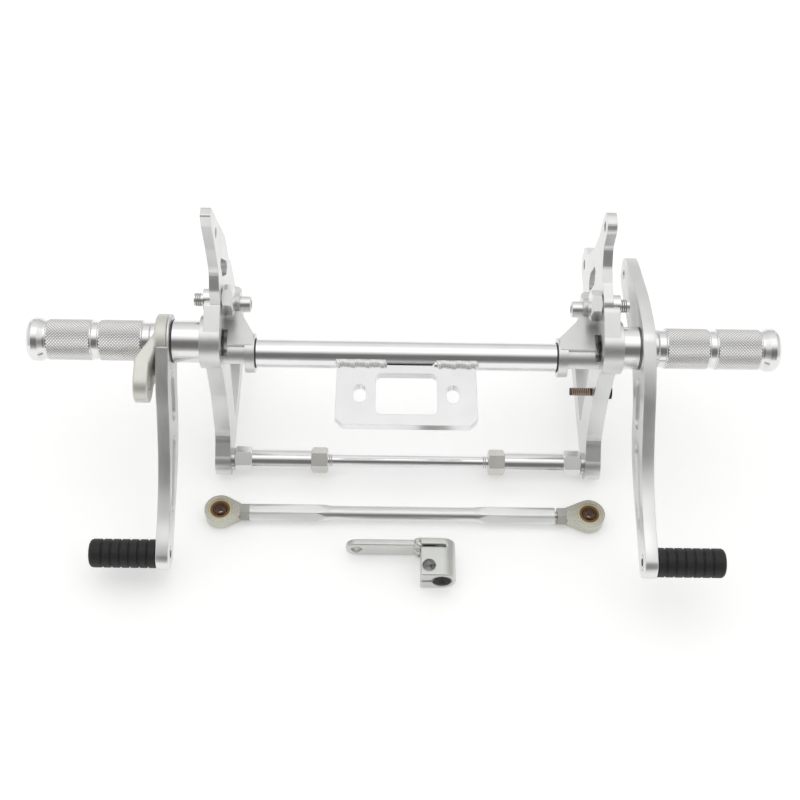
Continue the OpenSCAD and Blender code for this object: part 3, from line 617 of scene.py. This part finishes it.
def make_levers():
    toe_arc = arc_points(TOE, TOE_RADIUS, 103, 285, 8)
    toe_hole = arc_points(TOE, TOE_HOLE_RADIUS, 0, 352.5, 48)
    slots = [slot_points(slot) for slot in SLOTS]
    bore = arc_points((0, 0), HUB_BORE_RADIUS, 0, 352.5, 48)
    tip_hole = arc_points(TIP, TIP_HOLE_RADIUS, 0, 345, 24)

    tail = (arc_points(TIP, TIP_RADIUS, -96, 71, 7)
            + [(54, 5.2), (32, 12.5), (16, 15.6)])
    brake_edge = ([(18, -18.8), (36, -20.6), (54, -22.4)] + tail
                  + arc_points((0, 0), HUB, 88, 122, 3) + UPPER_EDGE + toe_arc + LOWER_EDGE)
    brake_holes = slots + [toe_hole, bore, tip_hole]
    brake_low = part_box("brake_lever")[0][0]
    plate = flat_plate("brake_plate", brake_edge, [], brake_holes, LEVER_THICK)
    lever_piece("brake_lever_smooth", [(plate, brake_low, LEVER_THICK, 0)],
                "brake_lever", "brake_lever")

    seat = arc_points((0, 0), RING_SEAT, -78, -232, 15)
    gear_edge = UPPER_EDGE + toe_arc + LOWER_EDGE + seat
    low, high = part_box("gear_lever")
    body = flat_plate("gear_plate", gear_edge, [seat[0], seat[-1]], slots + [toe_hole],
                      LEVER_THICK)
    hub_edge = arc_points((0, 0), HUB, 0, 345, 24)
    hub = flat_plate("gear_hub", hub_edge, [], [bore], GEAR_HUB_THICK)
    lever_piece("gear_lever_smooth",
                [(body, low[0], LEVER_THICK, GEAR_DROP),
                 (hub, high[0] - GEAR_HUB_THICK, GEAR_HUB_THICK, 0)],
                "gear_lever", "gear_lever")


make_levers()

# Castings, with softened corners

CAST_VOXEL = 0.5 * MM
CAST_PASSES = 9
SAW_CUT = 1.3 * MM
CLAMP_WIDTH = 22.5 * MM
BLADE_THICK = 4.5 * MM
BLADE_TOP = 15 * MM
CUT_REACH = 16.5 * MM
CUT_INSET = 0.4 * MM
CUT_MARGIN = 1 * MM
LUMP = 1.9 * MM
LUMP_STEP = 1.25 * MM
TOP_LUMP_STEP = 1.4 * MM
FIRST_LUMP = 2.6 * MM
LUMP_OUTSET = 1.3 * MM


def block(name, low, high):
    """A plain box between two corners, to cut with."""
    bm = bmesh.new()
    bmesh.ops.create_cube(bm, size=1)
    size = [b - a for a, b in zip(low, high)]
    middle = [(a + b) / 2 for a, b in zip(low, high)]
    place = Matrix.Translation(middle) @ Matrix.Diagonal((*size, 1))
    bmesh.ops.transform(bm, matrix=place, verts=bm.verts)
    return finished(name, bm, smooth=False)


def soften_casting(node, body, material, cut=None):
    """A copy of a cast node, sawn where asked, with every corner rounded a little."""
    bm = bmesh.new()
    bm.from_mesh(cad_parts[node].data)
    bmesh.ops.remove_doubles(bm, verts=bm.verts, dist=0.002 * MM)
    rough = finished(f"{node}_casting", bm)
    if cut:
        saw = block("saw", *cut)
        sawn = rough.modifiers.new("sawn", "BOOLEAN")
        sawn.operation = "DIFFERENCE"
        sawn.solver = "EXACT"
        sawn.object = saw
    even = rough.modifiers.new("even", "REMESH")
    even.mode = "VOXEL"
    even.voxel_size = CAST_VOXEL
    sight = rough.evaluated_get(bpy.context.evaluated_depsgraph_get())
    mesh = bpy.data.meshes.new_from_object(sight)
    rough.modifiers.clear()
    if cut:
        bpy.data.objects.remove(saw)
    bm = bmesh.new()
    bm.from_mesh(mesh)
    bpy.data.meshes.remove(mesh)
    for _ in range(CAST_PASSES):
        bmesh.ops.smooth_vert(bm, verts=bm.verts, factor=0.5,
                              use_axis_x=True, use_axis_y=True, use_axis_z=True)
    bm.to_mesh(rough.data)
    bm.free()
    for face in rough.data.polygons:
        face.use_smooth = True
    rough.data.materials.clear()
    rough.data.materials.append(material)
    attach(rough, body)
    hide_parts(node)


soften_casting("shift_arm", "gear_lever", cast_arm)


def make_shaft_arm():
    low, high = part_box("shaft_arm")
    clamp_left = high[0] - CLAMP_WIDTH
    blade_front = high[1] - BLADE_THICK
    cut_back = blade_front - CUT_INSET
    cut = ((clamp_left - CUT_MARGIN, cut_back - SAW_CUT, (low[2] + high[2]) / 2),
           (clamp_left + CUT_REACH, cut_back, high[2] + CUT_MARGIN))
    soften_casting("shaft_arm", "frame", shaft_metal, cut)

    bm = bmesh.new()
    blade_top = low[2] + BLADE_TOP
    spots = [(blade_front, low[2] + FIRST_LUMP + i * LUMP_STEP) for i in range(11)]
    spots += [(blade_front + i * TOP_LUMP_STEP, blade_top) for i in range(1, 4)]
    for i, (y, z) in enumerate(spots):
        swell = 1 + 0.3 * sin(5.3 * i)
        out = LUMP_OUTSET + 1.1 * MM * sin(2.3 * i)
        spot = (clamp_left - out, y - 0.4 * MM * sin(3.1 * i), z)
        bmesh.ops.create_uvsphere(bm, u_segments=16, v_segments=10, radius=LUMP * swell,
                                  matrix=Matrix.Translation(spot))
    lumps = finished("arm_weld", bm)
    lumps.data.materials.append(shaft_metal)
    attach(lumps, "frame")


make_shaft_arm()

# Linkage rod, a hexagonal bar turned down in the middle

ROD_SIDES = 72
ROD_WAIST = 4.95 * MM
HEX_RUN = 43.5 * MM
TAPER_RUN = 11.0 * MM
TAPER_RINGS = 10
ROD_BORE = 3.05 * MM
BORE_DEPTH = 13.0 * MM
CHAMFER_RUN = 0.9 * MM
CHAMFER_SHRINK = 0.9


def make_link_rod():
    low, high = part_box("link_rod")
    centre = axis_of("link_rod")
    flat = (high[2] - low[2]) / 2
    corner = flat / cos(radians(30))
    half = [(BORE_DEPTH, 0.0, ROD_BORE), (0.0, 0.0, ROD_BORE), (0.0, CHAMFER_SHRINK * corner, None),
            (CHAMFER_RUN, corner * 1.001, None), (HEX_RUN, corner * 1.001, None)]
    for i in range(1, TAPER_RINGS + 1):
        part = i / TAPER_RINGS
        ease = part * part * (3 - 2 * part)
        half.append((HEX_RUN + TAPER_RUN * part, corner + (ROD_WAIST - corner) * ease, None))
    rings = [(low[0] + run, turned, bore) for run, turned, bore in half]
    rings += [(high[0] - run, turned, bore) for run, turned, bore in reversed(half)]

    bm = bmesh.new()
    rim = bmesh.ops.create_circle(bm, segments=ROD_SIDES, radius=1, cap_ends=True)["verts"]
    angles = [2 * pi * i / ROD_SIDES for i in range(ROD_SIDES)]
    edges = list(bm.edges)
    for n, (x, turned, bore) in enumerate(rings):
        if n:
            grown = bmesh.ops.extrude_edge_only(bm, edges=edges)["geom"]
            rim = [g for g in grown if isinstance(g, bmesh.types.BMVert)]
            edges = [g for g in grown if isinstance(g, bmesh.types.BMEdge)
                     and all(v in rim for v in g.verts)]
        for vert, angle in zip(rim, angles):
            side = flat / cos(radians(degrees(angle) % 60 - 30))
            radius = bore if bore else min(turned, side)
            vert.co = (x, centre[0] + radius * cos(angle), centre[1] + radius * sin(angle))
    bmesh.ops.contextual_create(bm, geom=edges)
    bmesh.ops.recalc_face_normals(bm, faces=bm.faces)
    rod = finished("link_rod_turned", bm)
    rod.data.set_sharp_from_angle(angle=radians(24))
    rod.data.materials.append(rod_alu)
    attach(rod, "frame")
    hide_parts("link_rod")


make_link_rod()

# Weld beads along the hanger plate

BEAD_STEP = 1.55 * MM
BEAD_RADIUS = 2.9 * MM
BEAD_HALF_WIDTH = 1.15 * MM
BEAD_SWAY = 0.25 * MM
BEAD_RUNS = ((-43.0 * MM, -13.5 * MM), (20.0 * MM, 43.5 * MM))
SEAM = (22.7 * MM, 0.35 * MM)


def make_weld_beads():
    bm = bmesh.new()
    for start, end in BEAD_RUNS:
        count = round((end - start) / BEAD_STEP)
        for i in range(count + 1):
            sway = sin(7.3 * i + start * 900)
            swell = 1 + 0.12 * sin(4.1 * i + 1.7)
            lean = Matrix.Rotation(radians(32 + 8 * sway), 4, "Z")
            size = Matrix.Diagonal((BEAD_HALF_WIDTH * swell, BEAD_RADIUS * swell,
                                    BEAD_RADIUS * 0.94, 1))
            spot = (start + i * BEAD_STEP, SEAM[0] + BEAD_SWAY * sway, SEAM[1])
            bmesh.ops.create_uvsphere(bm, u_segments=16, v_segments=10, radius=1,
                                      matrix=Matrix.Translation(spot) @ lean @ size)
    beads = finished("weld_beads", bm)
    beads.data.materials.append(weld_metal)
    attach(beads, "frame")


make_weld_beads()

# Dark rings of painted shade in the joints of the sleeves and of the rail

TUBE_RADIUS = 9.0 * MM
TUBE_DROP = 11.0 * MM
TUBE_SHADE_WIDTH = 0.8 * MM
SLEEVE_SHADE_LEFT = 0.9 * MM
SLEEVE_SHADE_RIGHT = 0.7 * MM
SLEEVE_INSET = 0.5 * MM
SLEEVE_SINK = 0.15 * MM


def shade_ring(name, x, centre, radius, thick):
    """A dark round-section ring about the X direction, painted shade in a joint."""
    bm = bmesh.new()
    section = bmesh.ops.create_circle(bm, segments=10, radius=thick / 2)["verts"]
    bmesh.ops.translate(bm, verts=section, vec=(x, centre[0] + radius, centre[1]))
    bmesh.ops.spin(bm, geom=section + list(bm.edges), cent=(x, *centre), axis=(1, 0, 0),
                   angle=2 * pi, steps=72, use_merge=True)
    bmesh.ops.remove_doubles(bm, verts=bm.verts, dist=0.002 * MM)
    bmesh.ops.recalc_face_normals(bm, faces=bm.faces)
    ring = finished(name, bm)
    # the black rubber finish paints the shade in the gap between the parts
    ring.data.materials.append(rubber)
    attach(ring, "frame")


# painted shade: dark rings at the sleeve ends and the rail ends
def make_shade_rings():
    low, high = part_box("left_pivot_sleeve")
    centre = axis_of("left_pivot_sleeve")
    radius = (high[2] - low[2]) / 2 - SLEEVE_SINK
    sleeve_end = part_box("right_pivot_sleeve")[1][0]
    shade_ring("left_sleeve_shade", low[0] + SLEEVE_INSET, centre, radius, SLEEVE_SHADE_LEFT)
    shade_ring("right_sleeve_shade", sleeve_end - SLEEVE_INSET, centre, radius, SLEEVE_SHADE_RIGHT)
    tube_centre = (PIVOT[1], PIVOT[2] - TUBE_DROP)
    low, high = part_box("cross_rail")
    shade_ring("left_tube_shade", low[0] + TUBE_SHADE_WIDTH / 2, tube_centre, TUBE_RADIUS, TUBE_SHADE_WIDTH)
    shade_ring("right_tube_shade", high[0] - TUBE_SHADE_WIDTH / 2, tube_centre, TUBE_RADIUS, TUBE_SHADE_WIDTH)


make_shade_rings()

# Splines inside the shaft arm's bore

SPLINE_COUNT = 30
SPLINE_TIP = 6.0 * MM
BORE_RADIUS = 6.47 * MM
BORE_AXIS = (24.5 * MM, -86.0 * MM)
SPLINE_INSET = 0.4 * MM
GROOVE_RISE = 0.1 * MM


def make_splines():
    low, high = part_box("shaft_arm")
    start = low[1] + SPLINE_INSET
    length = high[1] - low[1] - 2 * SPLINE_INSET
    bm = bmesh.new()
    rim = bmesh.ops.create_circle(bm, segments=2 * SPLINE_COUNT, radius=1)["verts"]
    for i, vert in enumerate(rim):
        radius = SPLINE_TIP if i % 2 else BORE_RADIUS - GROOVE_RISE
        vert.co = vert.co.normalized() * radius
    edges = list(bm.edges)
    grown = bmesh.ops.extrude_edge_only(bm, edges=edges)["geom"]
    for vert in [g for g in grown if isinstance(g, bmesh.types.BMVert)]:
        vert.co = vert.co.normalized() * BORE_RADIUS
    wall = bmesh.ops.extrude_face_region(bm, geom=list(bm.faces))["geom"]
    lifted = [g for g in wall if isinstance(g, bmesh.types.BMVert)]
    bmesh.ops.translate(bm, verts=lifted, vec=(0, 0, length))
    place = (Matrix.Translation((BORE_AXIS[0], start, BORE_AXIS[1]))
             @ Matrix.Rotation(radians(-90), 4, "X"))
    bmesh.ops.transform(bm, matrix=place, verts=bm.verts)
    bmesh.ops.recalc_face_normals(bm, faces=bm.faces)
    teeth = finished("shaft_splines", bm, smooth=False)
    teeth.data.materials.append(shaft_metal)
    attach(teeth, "frame")


make_splines()
